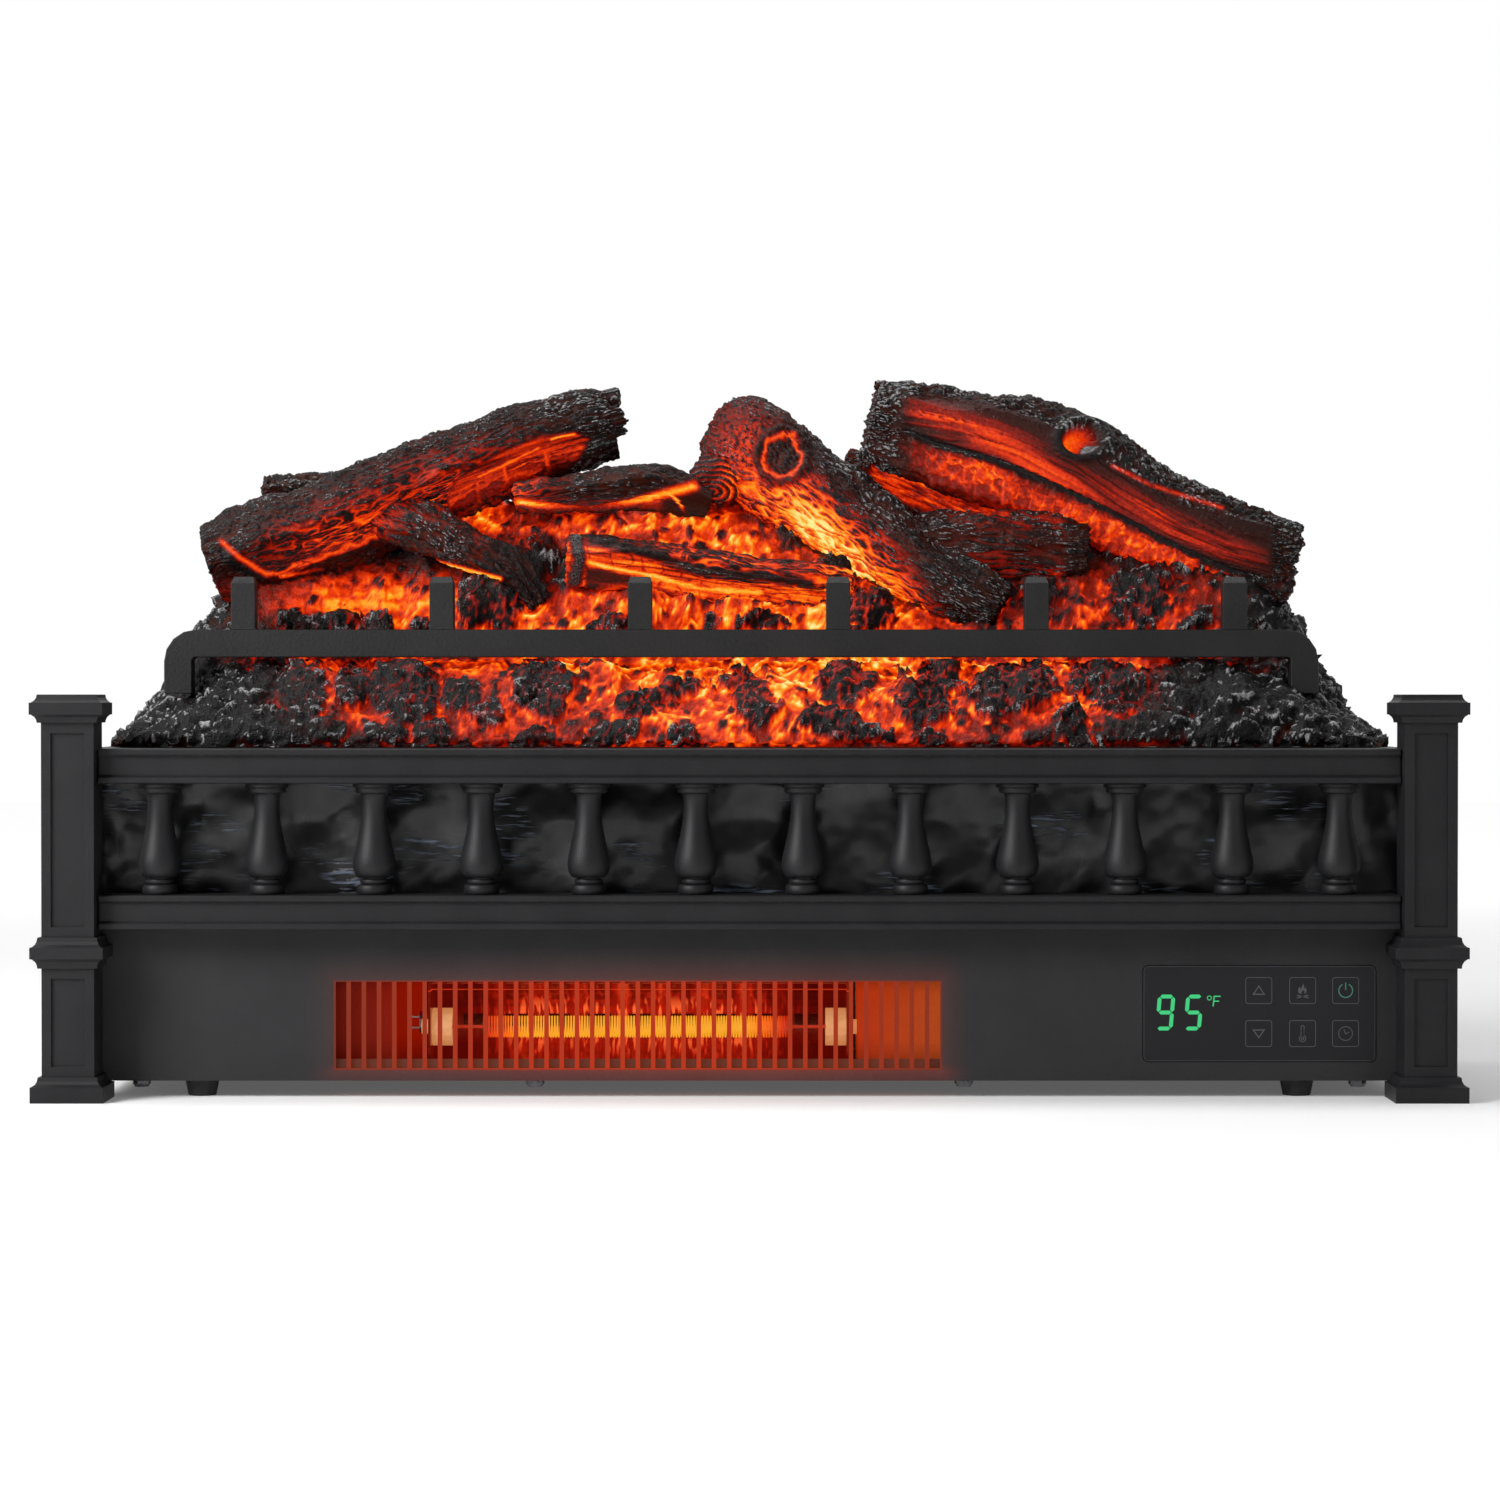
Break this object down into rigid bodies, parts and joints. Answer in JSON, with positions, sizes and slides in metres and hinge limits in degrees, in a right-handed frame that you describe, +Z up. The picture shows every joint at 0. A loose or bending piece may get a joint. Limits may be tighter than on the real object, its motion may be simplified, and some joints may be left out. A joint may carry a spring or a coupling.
{
  "type": "electric fireplace log set",
  "caption": "Freestanding electric fireplace heater: cast log pile on an ember bed and iron grate, above a fence-fronted steel case with quartz heater, blower, slotted outlet and touch control.",
  "frame": {"origin": "on the floor, in the middle of the object's width and depth", "axes": "+X to the right seen from the front, +Y to the rear, +Z up; the outlet and the control face -Y"},
  "size_m": [0.762, 0.25, 0.3928],
  "materials": {
    "charcoal_trim": "satin charcoal",
    "textured_paint": "fine textured powder coat",
    "screw_steel": "plain",
    "black_rubber": "matte",
    "gloss_black_rock": "gloss black moulded rock",
    "control_lens": "satin dark lens",
    "black_plastic": "matte",
    "circuit_board": "satin green",
    "polished_reflector": "polished",
    "quartz_glass": "clear",
    "heating_alloy": "oxidised, glowing",
    "ceramic": "unglazed cream",
    "galvanised_sheet": "galvanised",
    "cast_iron": "blackened",
    "ember_resin": "painted charcoal with a glow from below",
    "split_resin": "painted split wood, glowing",
    "bark_resin": "painted charred bark"
  },
  "bodies": {
    "case": {"left_post": "charcoal_trim", "right_post": "charcoal_trim", "top_rail": "charcoal_trim", "bottom_rail": "charcoal_trim", "baluster_01": "charcoal_trim", "baluster_02": "charcoal_trim", "baluster_03": "charcoal_trim", "baluster_04": "charcoal_trim", "baluster_05": "charcoal_trim", "baluster_06": "charcoal_trim", "baluster_07": "charcoal_trim", "baluster_08": "charcoal_trim", "baluster_09": "charcoal_trim", "baluster_10": "charcoal_trim", "baluster_11": "charcoal_trim", "baluster_12": "charcoal_trim", "front_panel": "textured_paint", "rear_case": "textured_paint", "deck_plate": "textured_paint", "base_pan": "textured_paint", "base_screw_1": "screw_steel", "base_screw_2": "screw_steel", "base_screw_3": "screw_steel", "base_screw_4": "screw_steel", "foot_front_left": "black_rubber", "foot_front_right": "black_rubber", "foot_rear_left": "black_rubber", "foot_rear_right": "black_rubber", "rock_panel": "gloss_black_rock", "control_lens": "control_lens", "display_module": "black_plastic", "control_board": "circuit_board", "power_board": "circuit_board", "led_board": "circuit_board", "heater_reflector": "polished_reflector", "quartz_tube": "quartz_glass", "heating_coil": "heating_alloy", "ceramic_cap_left": "ceramic", "ceramic_cap_right": "ceramic", "thermal_cutout": "black_plastic", "blower_guide": "galvanised_sheet", "blower_tongue": "galvanised_sheet", "air_guide": "galvanised_sheet", "blower_end_left": "galvanised_sheet", "blower_end_right": "galvanised_sheet", "blower_motor": "galvanised_sheet", "blower_bearing": "black_rubber", "rocker_frame": "black_plastic", "cable_gland": "black_rubber", "grate": "cast_iron", "ember_bed": "ember_resin", "log_left": "bark_resin", "log_centre": "bark_resin", "log_right": "bark_resin", "log_short": "bark_resin", "log_split_lower": "split_resin", "log_split_upper": "split_resin", "log_back": "bark_resin"},
    "blower_rotor": {"blower_wheel": "galvanised_sheet"},
    "rocker_body": {"rocker": "black_plastic"}
  },
  "joints": [
    {"name": "blower_spin", "type": "hinge", "parent": "case", "child": "blower_rotor", "pos_m": [-0.06, 0.025, 0.056], "axis": [1, 0, 0], "continuous": true},
    {"name": "rocker_tilt", "type": "hinge", "parent": "case", "child": "rocker_body", "pos_m": [0.25, 0.1135, 0.048], "axis": [1, 0, 0], "range_deg": [0, 16]}
  ]
}
